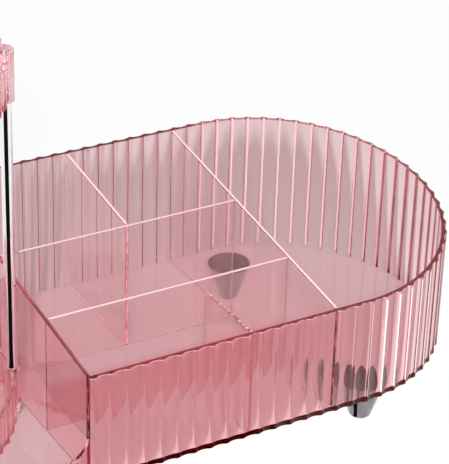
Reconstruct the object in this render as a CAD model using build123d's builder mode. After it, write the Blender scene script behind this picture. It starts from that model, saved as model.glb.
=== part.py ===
import os
from math import cos, pi, radians, sin

from build123d import *

# Rotating makeup organizer: a clear fluted base tray with compartments, an open bay at its left
# with a low round tray, and a round tray that turns on a chrome pole above it.
# The origin is on the ground under the middle of the base tray. +X runs along the tray to the
# large round-ended compartment, +Y to the tall back wall, +Z up.

# Base tray
base_depth = 180.0
front_height = 60.0
back_height = 85.0
lip_height = 15.0
swoop_radius = 12.0
floor_thickness = 2.2
wall_thickness = 3.0
flute_pitch = 9.4
flute_depth = 1.0

# Plates that stand in the base tray, and the compartments between them
divider_thickness = 1.8
bay_wall_thickness = 2.0
block_width = 137.1
rear_left_width = 71.6
front_left_width = 87.6
rear_depth = 71.1
front_depth = 45.7
end_straight = 17.6

# Round trays: smaller than the bay's rounded end, and set back in it to the clearance
bay_margin = 11.0
bay_clearance = 1.7
bay_lean_angle = 110.8
round_floor = 2.5
round_wall = 2.6
lower_tray_height = 21.8
upper_tray_height = 20.0
tier_gap = 156.5

# Pole on the rim of the round trays, its socket on the lower tray and the sleeve on the upper one,
# which hangs below that tray
pole_angle = -15.9
pole_diameter = 5.8
boss_diameter = 9.0
bay_wall_gap = 0.5
socket_floor = 5.0
socket_clearance = 0.05
sleeve_roof = 2.0
sleeve_drop = 7.0
running_clearance = 0.06

# Tip on which the upper tray turns
pivot_crown = 0.9
pivot_edge = 0.4
pivot_gap = 0.1
pivot_stem_diameter = 2.6
pivot_stem_length = 6.0

# Screw and washer under the floor, which hold the pole
screw_diameter = 3.0
screw_grip = 10.0
screw_head_diameter = 5.6
screw_head_height = 2.2
screw_slot_width = 0.8
screw_slot_depth = 0.9
screw_clearance = 0.2
thread_clearance = 0.05
washer_diameter = 8.0
washer_thickness = 0.8

# Tapered feet
foot_height = 23.0
foot_top_diameter = 25.0
foot_bottom_diameter = 11.0
foot_toe_radius = 1.8
foot_disc_inset = 0.7
foot_disc_thickness = 0.6
foot_pad_diameter = 6.4
foot_pad_thickness = 1.6
foot_pad_proud = 0.8
foot_end_offset = 12.0
foot_side_inset = 20.0

# Every cut runs this far past what it cuts
overrun = 5.0

# Heights and places that follow from the sizes above
underside = foot_height
floor_top = underside + floor_thickness
half_depth = base_depth / 2
inner_half_depth = half_depth - wall_thickness
rim_slope = (back_height - front_height) / base_depth
rear_cross_y = inner_half_depth - rear_depth - divider_thickness / 2
front_cross_y = front_depth + divider_thickness / 2 - inner_half_depth
lower_rim = floor_top + lower_tray_height
upper_floor = lower_rim + tier_gap
upper_rim = upper_floor + upper_tray_height
sleeve_bottom = upper_floor - sleeve_drop
sleeve_length = sleeve_drop + upper_tray_height
pole_radius = pole_diameter / 2
boss_radius = boss_diameter / 2
pole_foot = floor_top + socket_floor
pivot_top = upper_rim - sleeve_roof - pivot_gap
pole_top = pivot_top - pivot_crown - pivot_edge

# The plan, from the middle of the bay's rounded end at the left to that of the right end
round_radius = inner_half_depth - bay_margin
round_inner_radius = round_radius - round_wall
lean_reach = bay_margin - bay_clearance
pole_reach = round_radius - round_wall / 2
bay_to_round = lean_reach * cos(radians(bay_lean_angle))
bay_to_pole = bay_to_round + pole_reach * cos(radians(pole_angle))
bay_to_wall = max(bay_to_round + round_radius, bay_to_pole + boss_radius) + bay_wall_gap
bay_to_block = bay_to_wall + bay_wall_thickness
straight_length = bay_to_block + block_width + divider_thickness + end_straight
base_length = straight_length + base_depth
bay_centre_x = -straight_length / 2
bay_edge = bay_centre_x + bay_to_wall
compartment_left = bay_centre_x + bay_to_block
compartment_right = compartment_left + block_width
round_y = lean_reach * sin(radians(bay_lean_angle))
round_centre = (bay_centre_x + bay_to_round, round_y)
pole_x = bay_centre_x + bay_to_pole
pole_y = round_y + pole_reach * sin(radians(pole_angle))


def rim_height(y):
    # height of the sloping rim above the ground
    return underside + front_height + rim_slope * (y + half_depth)


def turned(point):
    # the same point on the opposite side of the tray
    return (-point[0], -point[1])


def round_flutes(centre, radius):
    # the ridge before each scooped flute, and its deepest point, round a full circle
    count = round(2 * pi * radius / flute_pitch)
    step = 2 * pi / count
    groove_radius = radius - flute_depth
    flutes = []
    for i in range(count):
        start = step * i
        middle = start + step / 2
        ridge = (centre[0] + radius * cos(start), centre[1] + radius * sin(start))
        groove = (centre[0] + groove_radius * cos(middle), centre[1] + groove_radius * sin(middle))
        flutes.append((ridge, groove))
    return flutes


def tray_flutes():
    # the same round the base tray: right end, back, left end, front. An even count round each end
    # puts a ridge at its tip
    end_count = 2 * round(pi * half_depth / (2 * flute_pitch))
    side_count = round(straight_length / flute_pitch)
    end_step = pi / end_count
    side_step = straight_length / side_count
    groove_radius = half_depth - flute_depth
    end_centre = straight_length / 2
    half_ring = []
    for i in range(end_count):
        start = end_step * i - pi / 2
        middle = start + end_step / 2
        ridge = (end_centre + half_depth * cos(start), half_depth * sin(start))
        groove = (end_centre + groove_radius * cos(middle), groove_radius * sin(middle))
        half_ring.append((ridge, groove))
    for i in range(side_count):
        start = end_centre - side_step * i
        half_ring.append(((start, half_depth), (start - side_step / 2, groove_radius)))
    return half_ring + [(turned(ridge), turned(groove)) for ridge, groove in half_ring]


def flute_arcs(flutes):
    # each flute's arc, from its ridge through its deepest point to the next ridge
    ridges = [ridge for ridge, groove in flutes]
    ends = ridges[1:] + ridges[:1]
    return [(ridge, groove, end) for (ridge, groove), end in zip(flutes, ends)]


# Base tray: a fluted block, hollowed, with its rim cut to the slope and its bay cut down to the lip
cut_top = underside + back_height + overrun
with BuildPart() as base_tray:
    with BuildSketch(Plane.XY.offset(underside)):
        with BuildLine():
            for start, groove, end in flute_arcs(tray_flutes()):
                ThreePointArc(start, groove, end)
        make_face()
    extrude(amount=back_height)
    with BuildSketch(Plane.XY.offset(floor_top)):
        SlotCenterToCenter(straight_length, 2 * inner_half_depth)
    extrude(amount=back_height, mode=Mode.SUBTRACT)
    with BuildSketch(Plane.YZ):
        with BuildLine():
            front_cut = -half_depth - overrun
            back_cut = half_depth + overrun
            Polyline(
                (front_cut, rim_height(front_cut)),
                (back_cut, rim_height(back_cut)),
                (back_cut, rim_height(back_cut) + back_height),
                (front_cut, rim_height(back_cut) + back_height),
                close=True,
            )
        make_face()
    extrude(amount=base_length, both=True, mode=Mode.SUBTRACT)
    with BuildSketch(Plane.XZ):
        with BuildLine():
            lip_top = underside + lip_height
            swoop_start = (bay_edge, lip_top + swoop_radius)
            swoop_end = (bay_edge - swoop_radius, lip_top)
            cut_left = -base_length / 2 - overrun
            Line((bay_edge, cut_top), swoop_start)
            TangentArc(swoop_start, swoop_end, tangent=(0, -1))
            Polyline(swoop_end, (cut_left, lip_top), (cut_left, cut_top), (bay_edge, cut_top))
        make_face()
    extrude(amount=base_depth, both=True, mode=Mode.SUBTRACT)
    with Locations((pole_x, pole_y, floor_top)):
        Hole(screw_diameter / 2 + screw_clearance, depth=floor_thickness)


# Plates that run front to back have tops that follow the rim
def plate_outline(front_y, back_y):
    return [
        (front_y, floor_top),
        (back_y, floor_top),
        (back_y, rim_height(back_y)),
        (front_y, rim_height(front_y)),
    ]


with BuildPart() as bay_wall:
    with BuildSketch(Plane.YZ.offset(bay_edge)):
        with BuildLine():
            Polyline(*plate_outline(-inner_half_depth, inner_half_depth), close=True)
        make_face()
    extrude(amount=bay_wall_thickness)

with BuildPart() as end_divider:
    with BuildSketch(Plane.YZ.offset(compartment_right)):
        with BuildLine():
            Polyline(*plate_outline(-inner_half_depth, inner_half_depth), close=True)
        make_face()
    extrude(amount=divider_thickness)

with BuildPart() as brush_divider:
    with BuildSketch(Plane.YZ.offset(compartment_left + rear_left_width)):
        with BuildLine():
            Polyline(*plate_outline(inner_half_depth - rear_depth, inner_half_depth), close=True)
        make_face()
    extrude(amount=divider_thickness)

# The short front plate is level with the front rim
with BuildPart() as lipstick_divider:
    with BuildSketch(Plane.YZ.offset(compartment_left + front_left_width)):
        with BuildLine():
            plate_front = -inner_half_depth
            plate_back = front_depth - inner_half_depth
            plate_top = underside + front_height
            Polyline(
                (plate_front, floor_top),
                (plate_back, floor_top),
                (plate_back, plate_top),
                (plate_front, plate_top),
                close=True,
            )
        make_face()
    extrude(amount=divider_thickness)

# Plates that run left to right, from the bay wall to the end divider
cross_middle = compartment_left + block_width / 2
with BuildPart() as rear_cross_divider:
    with BuildSketch(Plane.XY.offset(floor_top)):
        with Locations((cross_middle, rear_cross_y)):
            Rectangle(block_width, divider_thickness)
    extrude(amount=rim_height(rear_cross_y) - floor_top)

with BuildPart() as front_cross_divider:
    with BuildSketch(Plane.XY.offset(floor_top)):
        with Locations((cross_middle, front_cross_y)):
            Rectangle(block_width, divider_thickness)
    extrude(amount=rim_height(front_cross_y) - floor_top)

# Lower round tray: its boss is a socket for the pole, with a floor that the screw passes
with BuildPart() as lower_tray:
    with BuildSketch(Plane.XY.offset(floor_top)):
        with BuildLine():
            for start, groove, end in flute_arcs(round_flutes(round_centre, round_radius)):
                ThreePointArc(start, groove, end)
        make_face()
    extrude(amount=lower_tray_height)
    with BuildSketch(Plane.XY.offset(floor_top + round_floor)):
        with Locations(round_centre):
            Circle(round_inner_radius)
    extrude(amount=lower_tray_height, mode=Mode.SUBTRACT)
    with BuildSketch(Plane.XY.offset(floor_top)):
        with Locations((pole_x, pole_y)):
            Circle(boss_radius)
    extrude(amount=lower_tray_height)
    with Locations((pole_x, pole_y, lower_rim)):
        Hole(pole_radius + socket_clearance, depth=lower_rim - pole_foot)
    with Locations((pole_x, pole_y, pole_foot)):
        Hole(screw_diameter / 2 + screw_clearance, depth=socket_floor)

# Upper round tray: its sleeve reaches below its floor, is closed at the top and turns on the pole
with BuildPart() as upper_tray:
    with BuildSketch(Plane.XY.offset(upper_floor)):
        with BuildLine():
            for start, groove, end in flute_arcs(round_flutes(round_centre, round_radius)):
                ThreePointArc(start, groove, end)
        make_face()
    extrude(amount=upper_tray_height)
    with BuildSketch(Plane.XY.offset(upper_floor + round_floor)):
        with Locations(round_centre):
            Circle(round_inner_radius)
    extrude(amount=upper_tray_height, mode=Mode.SUBTRACT)
    with BuildSketch(Plane.XY.offset(sleeve_bottom)):
        with Locations((pole_x, pole_y)):
            Circle(boss_radius)
    extrude(amount=sleeve_length)
    with BuildSketch(Plane.XY.offset(sleeve_bottom)):
        with Locations((pole_x, pole_y)):
            Circle(pole_radius + running_clearance)
    extrude(amount=sleeve_length - sleeve_roof, mode=Mode.SUBTRACT)

# Pole: a chrome rod with a threaded hole at its foot and a plain one at its top
with BuildPart() as pole:
    with BuildSketch(Plane.XY.offset(pole_foot)):
        with Locations((pole_x, pole_y)):
            Circle(pole_radius)
    extrude(amount=pole_top - pole_foot)
    with BuildSketch(Plane.XY.offset(pole_foot)):
        with Locations((pole_x, pole_y)):
            Circle(screw_diameter / 2 + thread_clearance)
    extrude(amount=screw_grip + screw_clearance, mode=Mode.SUBTRACT)
    with Locations((pole_x, pole_y, pole_top)):
        Hole(pivot_stem_diameter / 2 + thread_clearance, depth=pivot_stem_length + screw_clearance)

# Pivot cap: a low crown on a stem that plugs into the pole
with BuildPart() as pivot_cap:
    with BuildSketch(Plane((pole_x, pole_y, pole_top), x_dir=(1, 0, 0), z_dir=(0, -1, 0))):
        with BuildLine():
            stem_radius = pivot_stem_diameter / 2
            Polyline(
                (0, pivot_edge + pivot_crown),
                (0, -pivot_stem_length),
                (stem_radius, -pivot_stem_length),
                (stem_radius, 0),
                (pole_radius, 0),
                (pole_radius, pivot_edge),
            )
            TangentArc((0, pivot_edge + pivot_crown), (pole_radius, pivot_edge), tangent=(1, 0))
        make_face()
    revolve(axis=Axis((pole_x, pole_y, pole_top), (0, 0, 1)))

# Screw and washer under the floor
washer_bottom = underside - washer_thickness
with BuildPart() as pole_washer:
    with BuildSketch(Plane.XY.offset(washer_bottom)):
        with Locations((pole_x, pole_y)):
            Circle(washer_diameter / 2)
            Circle(screw_diameter / 2 + screw_clearance, mode=Mode.SUBTRACT)
    extrude(amount=washer_thickness)

with BuildPart() as pole_screw:
    with BuildSketch(Plane.XY.offset(washer_bottom - screw_head_height)):
        with Locations((pole_x, pole_y)):
            Circle(screw_head_diameter / 2)
    extrude(amount=screw_head_height)
    with BuildSketch(Plane.XY.offset(washer_bottom)):
        with Locations((pole_x, pole_y)):
            Circle(screw_diameter / 2)
    extrude(amount=pole_foot + screw_grip - washer_bottom)
    with BuildSketch(Plane.XY.offset(washer_bottom - screw_head_height)):
        with Locations((pole_x, pole_y)):
            Rectangle(screw_head_diameter, screw_slot_width)
            Rectangle(screw_slot_width, screw_head_diameter)
    extrude(amount=screw_slot_depth, mode=Mode.SUBTRACT)

pieces = {
    "base_tray": base_tray,
    "bay_wall": bay_wall,
    "end_divider": end_divider,
    "brush_divider": brush_divider,
    "lipstick_divider": lipstick_divider,
    "rear_cross_divider": rear_cross_divider,
    "front_cross_divider": front_cross_divider,
    "lower_tray": lower_tray,
    "upper_tray": upper_tray,
    "pole": pole,
    "pivot_cap": pivot_cap,
    "pole_washer": pole_washer,
    "pole_screw": pole_screw,
}

# Four feet, each a tapered cone under a dark disc, with a pad set into its toe
foot_x = straight_length / 2 + foot_end_offset
foot_y = half_depth - foot_side_inset
foot_places = {
    "front_right": (foot_x, -foot_y),
    "rear_right": (foot_x, foot_y),
    "front_left": (-foot_x, -foot_y),
    "rear_left": (-foot_x, foot_y),
}
foot_top = underside - foot_disc_thickness
cone_height = foot_top - foot_pad_proud
for place, (x, y) in foot_places.items():
    with BuildPart() as foot:
        with Locations((x, y, foot_pad_proud)):
            Cone(
                foot_bottom_diameter / 2,
                foot_top_diameter / 2,
                cone_height,
                align=(Align.CENTER, Align.CENTER, Align.MIN),
            )
        fillet(foot.edges().filter_by(GeomType.CIRCLE).sort_by(Axis.Z)[0], foot_toe_radius)
        with BuildSketch(Plane.XY.offset(foot_pad_proud)):
            with Locations((x, y)):
                Circle(foot_pad_diameter / 2)
        extrude(amount=foot_pad_thickness - foot_pad_proud, mode=Mode.SUBTRACT)
    with BuildPart() as foot_disc:
        with BuildSketch(Plane.XY.offset(foot_top)):
            with Locations((x, y)):
                Circle(foot_top_diameter / 2 - foot_disc_inset)
        extrude(amount=foot_disc_thickness)
    with BuildPart() as foot_pad:
        with BuildSketch(Plane.XY):
            with Locations((x, y)):
                Circle(foot_pad_diameter / 2)
        extrude(amount=foot_pad_thickness)
    pieces["foot_" + place] = foot
    pieces["foot_disc_" + place] = foot_disc
    pieces["foot_pad_" + place] = foot_pad

os.makedirs("parts", exist_ok=True)
for name, piece in pieces.items():
    piece.part.label = name
    export_step(piece.part, f"parts/{name}.step")

print("pole", round(pole_x, 3), round(pole_y, 3), "round trays", [round(c, 3) for c in round_centre])
print("length", round(base_length, 3), "bay wall", round(bay_edge, 3), "block", round(compartment_left, 3))
print("floor", floor_top, "lower rim", lower_rim, "upper floor", upper_floor, "upper rim", upper_rim)
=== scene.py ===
import math

import bmesh
import bpy
from mathutils import Matrix, Vector


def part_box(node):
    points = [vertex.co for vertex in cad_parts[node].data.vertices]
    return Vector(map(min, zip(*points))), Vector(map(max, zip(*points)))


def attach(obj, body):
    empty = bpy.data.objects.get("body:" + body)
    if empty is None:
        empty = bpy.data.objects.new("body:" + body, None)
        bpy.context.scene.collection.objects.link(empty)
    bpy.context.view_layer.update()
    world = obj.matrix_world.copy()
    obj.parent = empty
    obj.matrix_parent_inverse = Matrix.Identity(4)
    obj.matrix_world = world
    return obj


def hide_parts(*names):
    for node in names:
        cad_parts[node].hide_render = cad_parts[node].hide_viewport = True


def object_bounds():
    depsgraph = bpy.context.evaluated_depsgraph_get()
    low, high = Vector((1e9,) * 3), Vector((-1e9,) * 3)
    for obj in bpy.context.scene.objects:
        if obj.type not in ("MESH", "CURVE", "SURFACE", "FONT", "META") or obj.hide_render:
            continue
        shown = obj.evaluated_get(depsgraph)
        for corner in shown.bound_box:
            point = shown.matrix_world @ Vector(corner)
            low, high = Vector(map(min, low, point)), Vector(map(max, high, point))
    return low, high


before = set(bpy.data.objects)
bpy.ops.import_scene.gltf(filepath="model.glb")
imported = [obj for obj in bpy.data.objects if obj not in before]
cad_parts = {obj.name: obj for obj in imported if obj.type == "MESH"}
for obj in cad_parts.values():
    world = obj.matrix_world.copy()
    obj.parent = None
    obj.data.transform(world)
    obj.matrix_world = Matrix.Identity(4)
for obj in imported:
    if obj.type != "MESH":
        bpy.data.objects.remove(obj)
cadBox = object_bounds()
scene = bpy.context.scene
mm = 0.001
hair = 0.01 * mm           # two points this close stand for one sharp corner
merge = hair / 10          # points this close become one
airGap = 0.05 * mm         # between clear pieces that touch, as between real ones
cornerAngle = 40           # degrees, and edges sharper than this are softened
facing = 0.9               # least share of a face's normal along the way that it faces
plainRange = (0.3, 0.7)    # holds most of a noise field

# Places read from the frame
trayLow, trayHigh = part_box("base_tray")
bayLow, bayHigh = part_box("bay_wall")
poleLow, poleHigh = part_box("pole")
halfDepth = trayHigh.y
halfStraight = trayHigh.x - halfDepth
underside = trayLow.z
floorTop = bayLow.z
innerHalf = bayHigh.y
bayEdge = bayLow.x
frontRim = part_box("lipstick_divider")[1].z
backRim = trayHigh.z
poleRadius = (poleHigh.x - poleLow.x) / 2
poleAxis = Vector(((poleLow.x + poleHigh.x) / 2, (poleLow.y + poleHigh.y) / 2, 0))


# Materials

def addNode(tree, kind, **settings):
    node = tree.nodes.new("ShaderNode" + kind)
    for name, value in settings.items():
        setattr(node, name, value)
    return node


def showSurface(tree, surface, kind="OutputMaterial"):
    out = addNode(tree, kind)
    tree.links.new(surface, out.inputs["Surface"])
    return out


def freshMaterial(name):
    material = bpy.data.materials.new(name)
    material.use_nodes = True
    material.node_tree.nodes.clear()
    return material, material.node_tree


def noiseField(tree, scale, detail, stretch=(1, 1, 1)):
    coords = addNode(tree, "TexCoord")
    mapping = addNode(tree, "Mapping")
    mapping.inputs["Scale"].default_value = stretch
    tree.links.new(coords.outputs["Object"], mapping.inputs["Vector"])
    noise = addNode(tree, "TexNoise")
    noise.inputs["Scale"].default_value = scale
    noise.inputs["Detail"].default_value = detail
    tree.links.new(mapping.outputs["Vector"], noise.inputs["Vector"])
    return noise.outputs["Fac"]


def spread(tree, field, low, high, reach=plainRange):
    ramp = addNode(tree, "MapRange")
    ramp.inputs["From Min"].default_value, ramp.inputs["From Max"].default_value = reach
    ramp.inputs["To Min"].default_value = low
    ramp.inputs["To Max"].default_value = high
    tree.links.new(field, ramp.inputs["Value"])
    return ramp.outputs["Result"]


def tinted(tree, field, first, second, reach=plainRange):
    blend = addNode(tree, "Mix", data_type="RGBA")
    blend.inputs["A"].default_value = (*first, 1)
    blend.inputs["B"].default_value = (*second, 1)
    tree.links.new(spread(tree, field, 0, 1, reach), blend.inputs["Factor"])
    return blend.outputs["Result"]


def bumped(tree, field, height, strength):
    bump = addNode(tree, "Bump")
    bump.inputs["Strength"].default_value = strength
    bump.inputs["Distance"].default_value = height
    tree.links.new(field, bump.inputs["Height"])
    return bump.outputs["Normal"]


mouldedPlastic = {
    "name": "mouldedRosePlastic",
    "ior": 1.49,
    "pale": (0.98, 0.785, 0.80),
    "deep": (0.96, 0.755, 0.775),
    "gloss": (0.40, 0.30, 0.30),       # colour of what it mirrors face on
    "absorbColour": (0.70, 0.0, 0.10),
    "absorbDensity": 42.0,             # per metre
    "shadeTint": (0.63, 0.58, 0.58),   # lamp light that is left behind the first clear face
    "deeperTint": (1.0, 1.0, 1.0),     # and what each further face leaves of that
    "smoothest": 0.0,
    "roughest": 0.035,
    "smearScale": 38.0,
    "smearDetail": 3.0,
    "waveScale": 55.0,
    "waveDetail": 1.0,
    "waveStretch": (1, 1, 0.25),
    "waveHeight": 0.02 * mm,
    "waveStrength": 0.10,
}
platePlastic = {
    **mouldedPlastic,
    "name": "plateRosePlastic",
    "pale": (1.0, 0.95, 0.955),
    "deep": (0.99, 0.93, 0.94),
    "absorbDensity": 12.0,
}
frontPlastic = {
    **platePlastic,
    "name": "frontRosePlastic",
    "paintedFootShade": (0.92, 0.66, 0.69),         # painted shade, deeper towards the floor
    "footShadeRange": (22.0 * mm, 30.0 * mm),    # above the floor
}
bayPlastic = {
    **platePlastic,
    "name": "bayRosePlastic",
    "pale": (1.0, 0.79, 0.82),
    "deep": (0.99, 0.76, 0.79),
}
roundPlastic = {
    **mouldedPlastic,
    "name": "roundRosePlastic",
    "absorbDensity": 16.0,
}


def addShade(tree, path, first, deeper):
    straight = addNode(tree, "BsdfTransparent")
    tint = addNode(tree, "Mix", data_type="RGBA")
    tint.inputs["A"].default_value = (*first, 1)
    tint.inputs["B"].default_value = (*deeper, 1)
    tree.links.new(path.outputs["Transparent Depth"], tint.inputs["Factor"])
    tree.links.new(tint.outputs["Result"], straight.inputs["Color"])
    return straight


# paints shade into the colour, deepening towards the floor
def withPaintedFootShade(tree, colour, look):
    place = addNode(tree, "SeparateXYZ")
    tree.links.new(addNode(tree, "TexCoord").outputs["Object"], place.inputs["Vector"])
    height = addNode(tree, "MapRange", interpolation_type="SMOOTHSTEP")
    start, end = look["footShadeRange"]
    height.inputs["From Min"].default_value = floorTop + start
    height.inputs["From Max"].default_value = floorTop + end
    tree.links.new(place.outputs["Z"], height.inputs["Value"])
    blend = addNode(tree, "Mix", data_type="RGBA")
    blend.inputs["A"].default_value = (*look["paintedFootShade"], 1)
    tree.links.new(colour, blend.inputs["B"])
    tree.links.new(height.outputs["Result"], blend.inputs["Factor"])
    return blend.outputs["Result"]


def makeClear(look):
    material, tree = freshMaterial(look["name"])
    smear = noiseField(tree, look["smearScale"], look["smearDetail"])
    wave = noiseField(tree, look["waveScale"], look["waveDetail"], look["waveStretch"])
    waveNormal = bumped(tree, wave, look["waveHeight"], look["waveStrength"])
    roughness = spread(tree, smear, look["smoothest"], look["roughest"])
    clear = addNode(tree, "BsdfPrincipled")
    colour = tinted(tree, smear, look["deep"], look["pale"])
    # painted shade, darker low down on the plate
    if "paintedFootShade" in look:
        colour = withPaintedFootShade(tree, colour, look)
    tree.links.new(colour, clear.inputs["Base Color"])
    tree.links.new(roughness, clear.inputs["Roughness"])
    tree.links.new(waveNormal, clear.inputs["Normal"])
    clear.inputs["Transmission Weight"].default_value = 1.0
    clear.inputs["IOR"].default_value = look["ior"]
    clear.inputs["Specular Tint"].default_value = (*look["gloss"], 1)
    # lamps and bounced light pass straight through
    path = addNode(tree, "LightPath")
    passing = addNode(tree, "Math", operation="MAXIMUM")
    tree.links.new(path.outputs["Is Shadow Ray"], passing.inputs[0])
    tree.links.new(path.outputs["Is Diffuse Ray"], passing.inputs[1])
    straight = addShade(tree, path, look["shadeTint"], look["deeperTint"])
    either = addNode(tree, "MixShader")
    tree.links.new(passing.outputs["Value"], either.inputs[0])
    tree.links.new(clear.outputs["BSDF"], either.inputs[1])
    tree.links.new(straight.outputs["BSDF"], either.inputs[2])
    body = addNode(tree, "VolumeAbsorption")
    body.inputs["Color"].default_value = (*look["absorbColour"], 1)
    body.inputs["Density"].default_value = look["absorbDensity"]
    out = showSurface(tree, either.outputs["Shader"])
    tree.links.new(body.outputs["Volume"], out.inputs["Volume"])
    return material


plainSolid = {
    "metallic": 0.0,
    "ior": 1.5,
    "grainDetail": 4.0,
    "stretch": (1, 1, 1),
    "ramp": plainRange,
}


def makeSolid(look):
    look = {**plainSolid, **look}
    material, tree = freshMaterial(look["name"])
    grain = noiseField(tree, look["grainScale"], look["grainDetail"], look["stretch"])
    colour = tinted(tree, grain, look["dark"], look["light"], look["ramp"])
    roughness = spread(tree, grain, look["smoothest"], look["roughest"])
    grainNormal = bumped(tree, grain, look["grainHeight"], look["grainStrength"])
    body = addNode(tree, "BsdfPrincipled")
    body.inputs["Metallic"].default_value = look["metallic"]
    body.inputs["IOR"].default_value = look["ior"]
    tree.links.new(colour, body.inputs["Base Color"])
    tree.links.new(roughness, body.inputs["Roughness"])
    tree.links.new(grainNormal, body.inputs["Normal"])
    showSurface(tree, body.outputs["BSDF"])
    return material


frostedEdge = {
    "name": "sawnPlateEdge",
    "dark": (1.0, 0.58, 0.58),
    "light": (1.0, 0.70, 0.70),
    "smoothest": 0.35,
    "roughest": 0.55,
    "grainScale": 900.0,
    "grainHeight": 0.02 * mm,
    "grainStrength": 0.3,
}
# opaque pale strips on the ridge tops: a painted highlight
paintedRidgeHighlight = {
    "name": "paintedRidgeHighlight",
    "dark": (0.97, 0.85, 0.85),
    "light": (0.98, 0.92, 0.92),
    "smoothest": 0.45,
    "roughest": 0.65,
    "grainScale": 400.0,
    "grainHeight": 0.01 * mm,
    "grainStrength": 0.2,
}
# the painted ridge highlight made darker for the ridges that face the lamp, which light them
# harder
paintedRidgeHighlightLampSide = {
    **paintedRidgeHighlight,
    "name": "paintedRidgeHighlightLampSide",
    "dark": (0.58, 0.50, 0.50),
    "light": (0.64, 0.57, 0.57),
}
# sawn speckle in dark colours that are partly painted shade, for ends that face the lamp and are
# lit harder than level faces
sawnEndAndShade = {
    "name": "sawnPlateEndAndShade",
    "dark": (0.08, 0.008, 0.012),
    "light": (0.42, 0.09, 0.11),
    "ramp": (0.44, 0.58),
    "smoothest": 0.25,
    "roughest": 0.5,
    "grainScale": 420.0,
    "stretch": (1, 1, 0.6),
    "grainHeight": 0.03 * mm,
    "grainStrength": 0.4,
}
sawnTop = {
    **sawnEndAndShade,
    "name": "sawnPlateTop",
    "dark": (0.20, 0.03, 0.04),
    "light": (1.0, 0.60, 0.60),
}
paleEnd = {
    **sawnEndAndShade,
    "name": "palePlateEnd",
    "dark": (0.52, 0.19, 0.22),
    "light": (0.76, 0.42, 0.44),
}
polishedEnd = {
    **frostedEdge,
    "name": "polishedPlateEnd",
    "dark": (0.36, 0.12, 0.135),
    "light": (0.44, 0.16, 0.175),
}
poleChrome = {
    "name": "poleChrome",
    "dark": (0.80, 0.80, 0.81),
    "light": (0.90, 0.90, 0.91),
    "metallic": 1.0,
    "smoothest": 0.03,
    "roughest": 0.08,
    "grainScale": 700.0,
    "stretch": (1, 1, 0.02),
    "grainHeight": 0.004 * mm,
    "grainStrength": 0.15,
}
footChrome = {
    "name": "footChrome",
    "dark": (0.20, 0.19, 0.195),
    "light": (0.30, 0.285, 0.29),
    "metallic": 1.0,
    "smoothest": 0.10,
    "roughest": 0.20,
    "grainScale": 420.0,
    "stretch": (1, 1, 0.1),
    "grainHeight": 0.006 * mm,
    "grainStrength": 0.2,
}
blackDisc = {
    "name": "blackFootDisc",
    "dark": (0.010, 0.009, 0.009),
    "light": (0.022, 0.020, 0.020),
    "smoothest": 0.40,
    "roughest": 0.60,
    "grainScale": 1500.0,
    "grainHeight": 0.03 * mm,
    "grainStrength": 0.5,
}
padRubber = {
    "name": "padRubber",
    "dark": (0.030, 0.030, 0.032),
    "light": (0.060, 0.060, 0.062),
    "smoothest": 0.65,
    "roughest": 0.85,
    "grainScale": 1200.0,
    "grainHeight": 0.04 * mm,
    "grainStrength": 0.6,
}
whiteNylon = {
    "name": "whiteNylon",
    "dark": (0.74, 0.73, 0.70),
    "light": (0.84, 0.83, 0.80),
    "smoothest": 0.35,
    "roughest": 0.5,
    "grainScale": 900.0,
    "grainHeight": 0.01 * mm,
    "grainStrength": 0.3,
}
screwSteel = {
    "name": "screwSteel",
    "dark": (0.50, 0.50, 0.51),
    "light": (0.66, 0.66, 0.67),
    "metallic": 1.0,
    "smoothest": 0.18,
    "roughest": 0.34,
    "grainScale": 1600.0,
    "grainHeight": 0.006 * mm,
    "grainStrength": 0.3,
}
moulded = makeClear(mouldedPlastic)
clearPlate = makeClear(platePlastic)
frontPlate = makeClear(frontPlastic)
bayPlate = makeClear(bayPlastic)
roundClear = makeClear(roundPlastic)
edgeFrost = makeSolid(frostedEdge)
ridgeHighlightPaint = makeSolid(paintedRidgeHighlight)
ridgeHighlightPaintLampSide = makeSolid(paintedRidgeHighlightLampSide)
endSpeckleAndShade = makeSolid(sawnEndAndShade)
topSpeckle = makeSolid(sawnTop)
endPale = makeSolid(paleEnd)
endRose = makeSolid(polishedEnd)
chrome = makeSolid(poleChrome)
darkChrome = makeSolid(footChrome)
discBlack = makeSolid(blackDisc)
rubber = makeSolid(padRubber)
nylon = makeSolid(whiteNylon)
steel = makeSolid(screwSteel)
print("materials made")


# Shaping

def titled(words):
    return "".join(word.capitalize() for word in words.split("_"))


def meshObject(name, bm, materials):
    mesh = bpy.data.meshes.new(name)
    bm.to_mesh(mesh)
    bm.free()
    for material in materials:
        mesh.materials.append(material)
    made = bpy.data.objects.new(name, mesh)
    scene.collection.objects.link(made)
    return made


def shadeSmooth(piece, sharpAngle):
    piece.data.shade_smooth()
    piece.data.set_sharp_from_angle(angle=math.radians(sharpAngle))


def shownPiece(name, bm, body, materials, replaced, sharpAngle=30):
    piece = meshObject(name, bm, materials)
    shadeSmooth(piece, sharpAngle)
    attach(piece, body)
    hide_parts(replaced)
    return piece


flutes = {
    "pitch": 9.4 * mm,
    "ridgeShare": 0.30,    # of the pitch, the rest is scooped
    "ridgeSlope": 36.0,    # degrees at the foot of a ridge
    "scoopSlope": 21.0,
    "ridgeSteps": 6,
    "scoopSteps": 8,
    "sharpAngle": 14.0,
}


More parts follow.
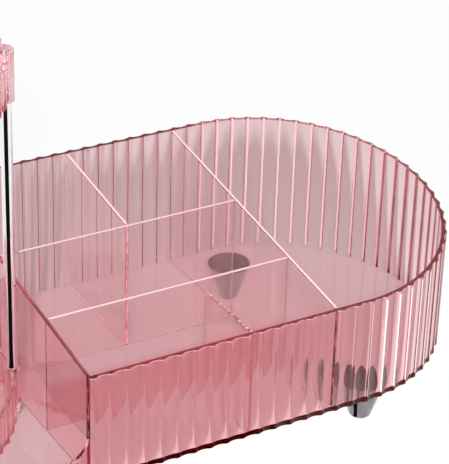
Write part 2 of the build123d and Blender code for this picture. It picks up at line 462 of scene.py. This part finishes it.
def addFlute(bm, start, end):
    # half a rounded ridge, a shallow scoop, and half of the next ridge
    chord = end - start
    along = chord.normalized()
    out = Vector((along.y, -along.x, 0))
    ridgeSlope = math.radians(flutes["ridgeSlope"])
    scoopSlope = math.radians(flutes["scoopSlope"])
    ridgeHalf = along * flutes["ridgeShare"] * chord.length / 2
    ridgeRadius = ridgeHalf.length / math.sin(ridgeSlope)
    scoopRadius = (chord.length / 2 - ridgeHalf.length) / math.sin(scoopSlope)
    drop = out * ridgeRadius * (1 - math.cos(ridgeSlope))
    scoopCentre = start + chord / 2 - drop + out * scoopRadius * math.cos(scoopSlope)
    for first, centre, angle, steps in (
        (start, start - out * ridgeRadius, ridgeSlope, flutes["ridgeSteps"]),
        (start + ridgeHalf - drop, scoopCentre, -2 * scoopSlope, flutes["scoopSteps"]),
        (end - ridgeHalf - drop, end - out * ridgeRadius, ridgeSlope, flutes["ridgeSteps"]),
    ):
        corner = bm.verts.new(first)
        bmesh.ops.spin(bm, geom=[corner], cent=centre, axis=(0, 0, 1), angle=angle, steps=steps)


def pushRing(bm, edges, place):
    # extrudes a ring of edges and moves each new corner to its place
    made = bmesh.ops.extrude_edge_only(bm, edges=edges)["geom"]
    corners = {part for part in made if isinstance(part, bmesh.types.BMVert)}
    for corner in corners:
        corner.co = place(corner.co)
    ring = [part for part in made if isinstance(part, bmesh.types.BMEdge)]
    return [edge for edge in ring if edge.verts[0] in corners and edge.verts[1] in corners]


def holeRing(bm, centre, radius, height, segments):
    spot = Matrix.Translation((centre.x, centre.y, height))
    corners = bmesh.ops.create_circle(bm, cap_ends=False, radius=radius, segments=segments,
                                      matrix=spot)["verts"]
    return list({edge for corner in corners for edge in corner.link_edges})


def sharpEdges(bm):
    found = [edge for edge in bm.edges if len(edge.link_faces) == 2]
    return [edge for edge in found if edge.calc_face_angle(0) > math.radians(cornerAngle)]


def softenEdges(bm, edges, width, segments):
    bmesh.ops.bevel(bm, geom=edges, offset=width, affect="EDGES", segments=segments,
                    profile=0.5, material=-1)


def turnedBody(points, axis, steps):
    # spins (radius, height) points round an upright axis
    bm = bmesh.new()
    corners = [bm.verts.new((axis.x + radius, axis.y, height)) for radius, height in points]
    edges = [bm.edges.new(pair) for pair in zip(corners, corners[1:])]
    bmesh.ops.spin(bm, geom=corners + edges, cent=axis, axis=(0, 0, 1), angle=2 * math.pi,
                   steps=steps, use_merge=True)
    bmesh.ops.remove_doubles(bm, verts=bm.verts[:], dist=merge)
    bmesh.ops.recalc_face_normals(bm, faces=bm.faces[:])
    return bm


def turnedDrum(radius, low, high, axis, steps):
    return turnedBody([(0, low), (radius, low), (radius, high), (0, high)], axis, steps)


# Base tray

baseTray = {
    "fluteShift": 2.0 * mm,    # of the ridges on the long sides, to the right
    "lipHeight": 15.0 * mm,
    "swoopRadius": 12.0 * mm,
    "swoopSteps": 12,
    "edgeSoftness": 0.25 * mm,
    # ridges at the round ends carry opaque strips of painted highlight
    "highlightDepth": (0.05 * mm, 0.20 * mm),    # this far down either side
    "highlightTop": 1.5 * mm,                    # up to this far under the rim
    "highlightFoot": 3.0 * mm,                   # and from this far over the underside
    "highlightTilt": 0.1,                        # where the wall is as upright as this
    "screwHole": 1.7 * mm,
    "holeSegments": 32,
}


def fromSpine(co):
    # the nearest point between the centres of the round ends, and the way out from it
    spine = Vector((max(-halfStraight, min(halfStraight, co.x)), 0, co.z))
    return spine, co - spine


def rimAt(co):
    if co.x > bayEdge - hair / 2:
        return frontRim + (backRim - frontRim) * (co.y + halfDepth) / (2 * halfDepth)
    radius = baseTray["swoopRadius"]
    inside = max(radius - (bayEdge - co.x), 0)
    return underside + baseTray["lipHeight"] + radius - math.sqrt(radius ** 2 - inside ** 2)


def insetFrom(co, inset):
    spine, out = fromSpine(co)
    return spine + out * (1 - inset / out.length)


def atDistance(co, distance):
    spine, out = fromSpine(co)
    return spine + out * (distance / out.length)


def atRim(co, drop):
    return Vector((co.x, co.y, rimAt(co) - drop))


def atHeight(co, height):
    return Vector((co.x, co.y, height))


def outlineTray(bm):
    endCount = 2 * round(math.pi * halfDepth / (2 * flutes["pitch"]))
    sideCount = round(2 * halfStraight / flutes["pitch"])
    shift = baseTray["fluteShift"]
    ridges = []
    for way in (1, -1):
        sweep = math.pi - 2 * way * shift / halfDepth
        for i in range(endCount):
            angle = sweep * (i / endCount - 1 / 2) + math.pi * (1 - way) / 2
            tip = Vector((math.cos(angle), math.sin(angle), 0)) * halfDepth
            ridges.append(Vector((way * halfStraight, 0, underside)) + tip)
        for i in range(sideCount):
            x = way * halfStraight * (1 - 2 * i / sideCount) + shift
            beyond = max(abs(x) - halfStraight, 0) * math.copysign(1, x)
            turn = beyond / halfDepth
            tip = Vector((math.sin(turn), way * math.cos(turn), 0)) * halfDepth
            ridges.append(Vector((x - beyond, 0, underside)) + tip)
    for start, end in zip(ridges, ridges[1:] + ridges[:1]):
        addFlute(bm, start, end)
    bmesh.ops.remove_doubles(bm, verts=bm.verts[:], dist=merge)
    # corners where the rim drops to the lip
    radius, steps = baseTray["swoopRadius"], baseTray["swoopSteps"]
    drops = [bayEdge - radius + radius * math.sin(math.pi / 2 * i / steps) for i in range(steps)]
    for x in drops + [bayEdge - hair, bayEdge]:
        bmesh.ops.bisect_plane(bm, geom=bm.verts[:] + bm.edges[:], plane_co=(x, 0, 0),
                               plane_no=(1, 0, 0), dist=merge / 10)


# finds the ridge faces that carry the painted highlight
def onPaintedRidgeHighlight(face):
    co = face.calc_center_median()
    out = fromSpine(co)[1]
    farSide = out.cross(face.normal).z < 0
    onRidge = halfDepth - out.length < baseTray["highlightDepth"][farSide]
    between = underside + baseTray["highlightFoot"] < co.z < rimAt(co) - baseTray["highlightTop"]
    atEnd = abs(co.x) > halfStraight + baseTray["fluteShift"]
    return onRidge and between and atEnd and abs(face.normal.z) < baseTray["highlightTilt"]


def makeBaseTray():
    soft = baseTray["edgeSoftness"]
    bm = bmesh.new()
    outlineTray(bm)
    for corner in bm.verts:
        corner.co = insetFrom(corner.co, soft)
    bottom = bm.edges[:]
    ring = pushRing(bm, bottom, lambda co: atHeight(insetFrom(co, -soft), underside + soft))
    ring = pushRing(bm, ring, lambda co: atHeight(co, underside + baseTray["highlightFoot"]))
    ring = pushRing(bm, ring, lambda co: atRim(co, baseTray["highlightTop"]))
    ring = pushRing(bm, ring, lambda co: atRim(co, soft))
    ring = pushRing(bm, ring, lambda co: atRim(insetFrom(co, soft), 0))
    ring = pushRing(bm, ring, lambda co: atRim(atDistance(co, innerHalf + soft), 0))
    ring = pushRing(bm, ring, lambda co: atRim(atDistance(co, innerHalf), soft))
    ring = pushRing(bm, ring, lambda co: atHeight(co, floorTop))
    upper = holeRing(bm, poleAxis, baseTray["screwHole"], floorTop, baseTray["holeSegments"])
    lower = holeRing(bm, poleAxis, baseTray["screwHole"], underside, baseTray["holeSegments"])
    bmesh.ops.triangle_fill(bm, use_beauty=True, use_dissolve=False, edges=ring + upper)
    bmesh.ops.triangle_fill(bm, use_beauty=True, use_dissolve=False, edges=bottom + lower)
    bmesh.ops.bridge_loops(bm, edges=upper + lower)
    bmesh.ops.recalc_face_normals(bm, faces=bm.faces[:])
    materials = [moulded, endSpeckleAndShade, ridgeHighlightPaint, ridgeHighlightPaintLampSide]
    for face in bm.faces:
        besideBay = abs(face.calc_center_median().x - bayEdge) < 2 * hair
        if besideBay and face.normal.x < -facing:    # the wall's cut ends
            face.material_index = materials.index(endSpeckleAndShade)
        # painted highlight strips on the ridge tops, in a darker copy on the side that faces the
        # lamp
        if onPaintedRidgeHighlight(face):
            face.material_index = materials.index(ridgeHighlightPaint if face.normal.y > 0 else ridgeHighlightPaintLampSide)
    shownPiece("roseBaseTray", bm, "base", materials, "base_tray",
               flutes["sharpAngle"])


makeBaseTray()
print("base tray made")


# Plates that stand in the tray

plates = {
    "edgeSoftness": 0.45 * mm,
    "edgeSegments": 3,
    "sharpAngle": 8.0,
    "sloping": ("bay_wall", "end_divider", "brush_divider"),
    "level": ("lipstick_divider", "rear_cross_divider", "front_cross_divider"),
    "polished": ("bay_wall",),    # the tops and ends of the others are sawn
    "plastic": {"front_cross_divider": frontPlate, "bay_wall": bayPlate},
    "tops": {"lipstick_divider": topSpeckle},
    "ends": {"lipstick_divider": endRose, "brush_divider": endPale},
}


def makePlate(node, sloping):
    low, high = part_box(node)
    bm = bmesh.new()
    corners = bmesh.ops.create_cube(bm, size=1.0)["verts"]
    size = high - low - Vector((airGap, airGap, airGap)) * 2
    bmesh.ops.scale(bm, vec=size, verts=corners)
    bmesh.ops.translate(bm, vec=(low + high) / 2, verts=corners)
    for corner in corners:
        if sloping and corner.co.z > (low.z + high.z) / 2:
            corner.co = atRim(corner.co, airGap)
    softenEdges(bm, sharpEdges(bm), plates["edgeSoftness"], plates["edgeSegments"])
    plastic = plates["plastic"].get(node, clearPlate)
    top = plates["tops"].get(node, edgeFrost)
    end = plates["ends"].get(node, endSpeckleAndShade)
    materials = [plastic, top, end]
    along = 0 if size.x > size.y else 1    # the way that the plate runs
    if node not in plates["polished"]:
        for face in bm.faces:
            if face.normal.z > facing:
                face.material_index = materials.index(top)
            elif abs(face.normal[along]) > facing:
                face.material_index = materials.index(end)
    shownPiece("rose" + titled(node), bm, "base", materials, node,
               plates["sharpAngle"])


for node in plates["sloping"]:
    makePlate(node, True)
for node in plates["level"]:
    makePlate(node, False)
print("plates made")


# Round trays

roundTray = {
    "radius": 76.0 * mm,
    "wall": 2.6 * mm,
    "floor": 2.5 * mm,
    "upperHeight": 20.0 * mm,    # its sleeve hangs lower
    "poleReach": 74.7 * mm,
    "poleAngle": -15.9,
    "edgeSoftness": 0.3 * mm,
    "bossRadius": 4.5 * mm,
    "bossSoftness": 0.6 * mm,
    "bossSegments": 4,
    "bossSteps": 64,
    "socketFloor": 5.0 * mm,
    "socketRadius": 2.95 * mm,
    "sleeveRadius": 2.96 * mm,
    "sleeveRoof": 2.0 * mm,
    "past": 2.0 * mm,            # a cut runs this far past the face that it opens
}
poleWay = math.radians(roundTray["poleAngle"])
toPole = roundTray["poleReach"] * Vector((math.cos(poleWay), math.sin(poleWay), 0))
roundCentre = poleAxis - toPole


def fromCentre(co, distance):
    out = Vector((co.x - roundCentre.x, co.y - roundCentre.y, 0))
    spot = roundCentre + out.normalized() * distance
    return Vector((spot.x, spot.y, co.z))


def shrunk(co, inset):
    out = Vector((co.x - roundCentre.x, co.y - roundCentre.y, 0))
    return fromCentre(co, out.length - inset)


def outlineRound(bm, height):
    radius = roundTray["radius"]
    count = round(2 * math.pi * radius / flutes["pitch"])
    angles = [2 * math.pi / count * i for i in range(count)]
    middle = roundCentre + Vector((0, 0, height))
    ridges = [middle + radius * Vector((math.cos(angle), math.sin(angle), 0)) for angle in angles]
    for start, end in zip(ridges, ridges[1:] + ridges[:1]):
        addFlute(bm, start, end)
    bmesh.ops.remove_doubles(bm, verts=bm.verts[:], dist=merge)


def combine(piece, bm, operation):
    # joins or cuts the piece with a scratch body
    tool = meshObject("scratch", bm, [roundClear])
    step = piece.modifiers.new(operation.lower(), "BOOLEAN")
    step.operation = operation
    step.solver = "EXACT"
    step.object = tool
    graph = bpy.context.evaluated_depsgraph_get()
    result = bpy.data.meshes.new_from_object(piece.evaluated_get(graph))
    piece.modifiers.clear()
    piece.data = result
    bpy.data.objects.remove(tool)


def makeRoundTray(node, name, body, base, bossBase, bores):
    rim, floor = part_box(node)[1].z, base + roundTray["floor"]
    soft, inner = roundTray["edgeSoftness"], roundTray["radius"] - roundTray["wall"]
    bm = bmesh.new()
    outlineRound(bm, base)
    for corner in bm.verts:
        corner.co = shrunk(corner.co, soft)
    bottom = bm.edges[:]
    ring = pushRing(bm, bottom, lambda co: atHeight(shrunk(co, -soft), base + soft))
    ring = pushRing(bm, ring, lambda co: atHeight(co, rim - soft))
    ring = pushRing(bm, ring, lambda co: atHeight(shrunk(co, soft), rim))
    ring = pushRing(bm, ring, lambda co: atHeight(fromCentre(co, inner + soft), rim))
    ring = pushRing(bm, ring, lambda co: atHeight(fromCentre(co, inner), rim - soft))
    ring = pushRing(bm, ring, lambda co: atHeight(co, floor))
    bmesh.ops.contextual_create(bm, geom=ring)
    bmesh.ops.contextual_create(bm, geom=bottom)
    bmesh.ops.recalc_face_normals(bm, faces=bm.faces[:])
    piece = shownPiece(name, bm, body, [roundClear], node)
    boss = turnedDrum(roundTray["bossRadius"], bossBase, rim, poleAxis, roundTray["bossSteps"])
    softenEdges(boss, sharpEdges(boss), roundTray["bossSoftness"], roundTray["bossSegments"])
    combine(piece, boss, "UNION")
    for radius, start, end in bores:
        bore = turnedDrum(radius, start, end, poleAxis, roundTray["bossSteps"])
        combine(piece, bore, "DIFFERENCE")
    shadeSmooth(piece, flutes["sharpAngle"])


lowerLow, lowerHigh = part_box("lower_tray")
upperLow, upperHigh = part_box("upper_tray")
lowerBase = lowerLow.z + airGap
upperBase = upperHigh.z - roundTray["upperHeight"]
socketFoot = lowerLow.z + roundTray["socketFloor"]
past = roundTray["past"]
makeRoundTray("lower_tray", "roseLowerTray", "base", lowerBase, lowerBase, [
    (roundTray["socketRadius"], socketFoot, lowerHigh.z + past),
    (baseTray["screwHole"], lowerLow.z - past, socketFoot + past),
])
makeRoundTray("upper_tray", "roseUpperTray", "turning_tray", upperBase, upperLow.z, [
    (roundTray["sleeveRadius"], upperLow.z - past, upperHigh.z - roundTray["sleeveRoof"]),
])
print("round trays made")


# Pole and its small parts

poleShape = {
    "edgeSoftness": 0.25 * mm,
    "edgeSegments": 3,
    "steps": 96,
}


def makePole():
    bm = turnedDrum(poleRadius, poleLow.z, poleHigh.z, poleAxis, poleShape["steps"])
    softenEdges(bm, sharpEdges(bm), poleShape["edgeSoftness"], poleShape["edgeSegments"])
    shownPiece("chromePole", bm, "base", [chrome], "pole")


makePole()
for node, material in (("pivot_cap", nylon), ("pole_washer", nylon), ("pole_screw", steel)):
    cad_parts[node].data.materials.clear()
    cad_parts[node].data.materials.append(material)
print("pole made")


# Feet

feet = {
    "toeRadius": 5.5 * mm,
    "toeSoftness": 1.8 * mm,
    "toeSegments": 8,
    "padSoftness": 0.3 * mm,
    "padSegments": 3,
    "discSoftness": 0.15 * mm,
    "discSegments": 2,
    "steps": 96,
    "corners": ("front_right", "rear_right", "front_left", "rear_left"),
}


def middleOf(low, high):
    return Vector(((low.x + high.x) / 2, (low.y + high.y) / 2, 0))


def makeFoot(corner):
    low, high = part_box("foot_" + corner)
    padLow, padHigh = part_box("foot_pad_" + corner)
    discLow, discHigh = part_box("foot_disc_" + corner)
    axis, steps = middleOf(low, high), feet["steps"]
    topRadius = (high.x - low.x) / 2
    padRadius = (padHigh.x - padLow.x) / 2
    discRadius = (discHigh.x - discLow.x) / 2
    name = titled(corner)

    seat, seatRadius = padHigh.z, padRadius + airGap
    outline = [(0, seat), (seatRadius, seat), (seatRadius, low.z),
               (feet["toeRadius"], low.z), (topRadius, high.z), (0, high.z)]
    bm = turnedBody(outline, axis, steps)
    toe = [edge for edge in sharpEdges(bm)
           if all(abs((v.co - axis).xy.length - feet["toeRadius"]) < hair for v in edge.verts)]
    softenEdges(bm, toe, feet["toeSoftness"], feet["toeSegments"])
    shownPiece("chromeFoot" + name, bm, "base", [darkChrome], "foot_" + corner)

    bm = turnedDrum(discRadius, discLow.z, discHigh.z - airGap, axis, steps)
    softenEdges(bm, sharpEdges(bm), feet["discSoftness"], feet["discSegments"])
    shownPiece("blackDisc" + name, bm, "base", [discBlack], "foot_disc_" + corner)

    bm = turnedDrum(padRadius, padLow.z, padHigh.z, axis, steps)
    softenEdges(bm, sharpEdges(bm), feet["padSoftness"], feet["padSegments"])
    shownPiece("rubberPad" + name, bm, "base", [rubber], "foot_pad_" + corner)


for corner in feet["corners"]:
    makeFoot(corner)
print("feet made")


# Studio

studio = {
    "floorSize": 12.0,
    "floorDrop": 0.05 * mm,
    "floorColour": (0.97, 0.97, 0.97),
    "floorGlow": (0.05, 0.92),              # plain white share, through clear pieces and directly
    "ambient": 0.20,
    "keySpot": (-0.867, -1.636, 1.154),     # in line with the camera, which hides the shadows
    "keyRadius": 100.0 * mm,
    "keyWatts": 335.0,
    # dark cards before the pole and before the foot that shows, seen by mirrors alone
    "cardColour": (0.004, 0.004, 0.004),
    "cardSteps": 8,
    "poleSector": (-159.0, -83.0),
    "poleReach": (4.0 * mm, 0.60),
    "poleLift": 1.0 * mm,                   # above the rim of the lower tray
    "footSector": (-165.0, -140.0),
    "footReach": (6.0 * mm, 0.20),
    "footLift": 1.0 * mm,                   # above the ground
    "bounces": 64,                          # many clear walls stand one behind the other
    "clearLayers": 48,
}


def floorPaper():
    material, tree = freshMaterial("studioFloor")
    paper = addNode(tree, "BsdfDiffuse")
    paper.inputs["Color"].default_value = (*studio["floorColour"], 1)
    white = addNode(tree, "Emission")
    path = addNode(tree, "LightPath")
    mirrored = addNode(tree, "Math", operation="SUBTRACT")
    tree.links.new(path.outputs["Is Glossy Ray"], mirrored.inputs[0])
    tree.links.new(path.outputs["Is Transmission Ray"], mirrored.inputs[1])
    seen = addNode(tree, "Math", operation="MAXIMUM")
    tree.links.new(path.outputs["Is Camera Ray"], seen.inputs[0])
    tree.links.new(mirrored.outputs["Value"], seen.inputs[1])
    glow = addNode(tree, "MapRange")
    through, direct = studio["floorGlow"]
    glow.inputs["To Min"].default_value = through
    glow.inputs["To Max"].default_value = direct
    tree.links.new(seen.outputs["Value"], glow.inputs["Value"])
    blend = addNode(tree, "MixShader")
    tree.links.new(glow.outputs["Result"], blend.inputs[0])
    tree.links.new(paper.outputs["BSDF"], blend.inputs[1])
    tree.links.new(white.outputs["Emission"], blend.inputs[2])
    showSurface(tree, blend.outputs["Shader"])
    return material


def makeFloor():
    bm = bmesh.new()
    drop = Matrix.Translation((0, 0, cadBox[0].z - studio["floorDrop"]))
    half = studio["floorSize"] / 2
    bmesh.ops.create_grid(bm, x_segments=1, y_segments=1, size=half, matrix=drop)
    floor = meshObject("studioFloor", bm, [floorPaper()])


def makeCard(name, axis, height, sector, reaches):
    # chrome needs something dark to mirror
    material, tree = freshMaterial(name)
    felt = addNode(tree, "BsdfDiffuse")
    felt.inputs["Color"].default_value = (*studio["cardColour"], 1)
    showSurface(tree, felt.outputs["BSDF"])
    first, last = (math.radians(angle) for angle in sector)
    way = Vector((math.cos(first), math.sin(first), 0))
    bm = bmesh.new()
    ends = [bm.verts.new(axis + Vector((0, 0, height)) + way * reach) for reach in reaches]
    edge = bm.edges.new(ends)
    bmesh.ops.spin(bm, geom=ends + [edge], cent=axis, axis=(0, 0, 1), angle=last - first,
                   steps=studio["cardSteps"])
    card = meshObject(name, bm, [material])
    for ray in ("camera", "diffuse", "transmission", "shadow", "volume_scatter"):
        setattr(card, "visible_" + ray, False)


def makeWorld():
    world = bpy.data.worlds.new("studioWorld")
    scene.world = world
    world.use_nodes = True
    tree = world.node_tree
    tree.nodes.clear()
    path = addNode(tree, "LightPath")
    # direct sight, mirrors and clear pieces see white, and everything else a softer sky
    seen = addNode(tree, "Math", operation="MAXIMUM")
    tree.links.new(path.outputs["Is Camera Ray"], seen.inputs[0])
    tree.links.new(path.outputs["Is Glossy Ray"], seen.inputs[1])
    seenThrough = addNode(tree, "Math", operation="MAXIMUM")
    tree.links.new(seen.outputs["Value"], seenThrough.inputs[0])
    tree.links.new(path.outputs["Is Transmission Ray"], seenThrough.inputs[1])
    white = addNode(tree, "Background")
    sky = addNode(tree, "Background")
    sky.inputs["Strength"].default_value = studio["ambient"]
    for background in (white, sky):
        background.inputs["Color"].default_value = (1, 1, 1, 1)
    blend = addNode(tree, "MixShader")
    tree.links.new(seenThrough.outputs["Value"], blend.inputs[0])
    tree.links.new(sky.outputs["Background"], blend.inputs[1])
    tree.links.new(white.outputs["Background"], blend.inputs[2])
    showSurface(tree, blend.outputs["Shader"], "OutputWorld")


def makeLamp():
    light = bpy.data.lights.new("key", "POINT")
    light.energy = studio["keyWatts"]
    light.shadow_soft_size = studio["keyRadius"]
    holder = bpy.data.objects.new("key", light)
    holder.location = studio["keySpot"]
    holder.visible_camera = False
    scene.collection.objects.link(holder)


camera = {
    "spot": (-0.40334, -0.81806, 0.60192),
    "heading": 30.683,    # degrees, from straight at the front towards the right
    "downward": 28.351,
    "roll": 1.873,
    "lens": 158.224,
}


def makeCamera():
    data = bpy.data.cameras.new("camera")
    data.lens = camera["lens"]
    holder = bpy.data.objects.new("camera", data)
    scene.collection.objects.link(holder)
    turn = (Matrix.Rotation(-math.radians(camera["heading"]), 4, "Z")
            @ Matrix.Rotation(math.radians(90 - camera["downward"]), 4, "X")
            @ Matrix.Rotation(math.radians(camera["roll"]), 4, "Z"))
    holder.matrix_world = Matrix.Translation(camera["spot"]) @ turn
    scene.camera = holder


shownFoot = middleOf(*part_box("foot_front_right"))
makeFloor()
makeCard("poleCard", poleAxis, lowerHigh.z + studio["poleLift"], studio["poleSector"],
         studio["poleReach"])
makeCard("footCard", shownFoot, cadBox[0].z + studio["footLift"], studio["footSector"],
         studio["footReach"])
makeWorld()
makeLamp()
makeCamera()
scene.view_settings.view_transform = "Standard"
scene.cycles.max_bounces = studio["bounces"]
scene.cycles.transmission_bounces = studio["bounces"]
scene.cycles.glossy_bounces = studio["bounces"]
scene.cycles.transparent_max_bounces = studio["clearLayers"]
scene.cycles.use_denoising = True
print("studio made")
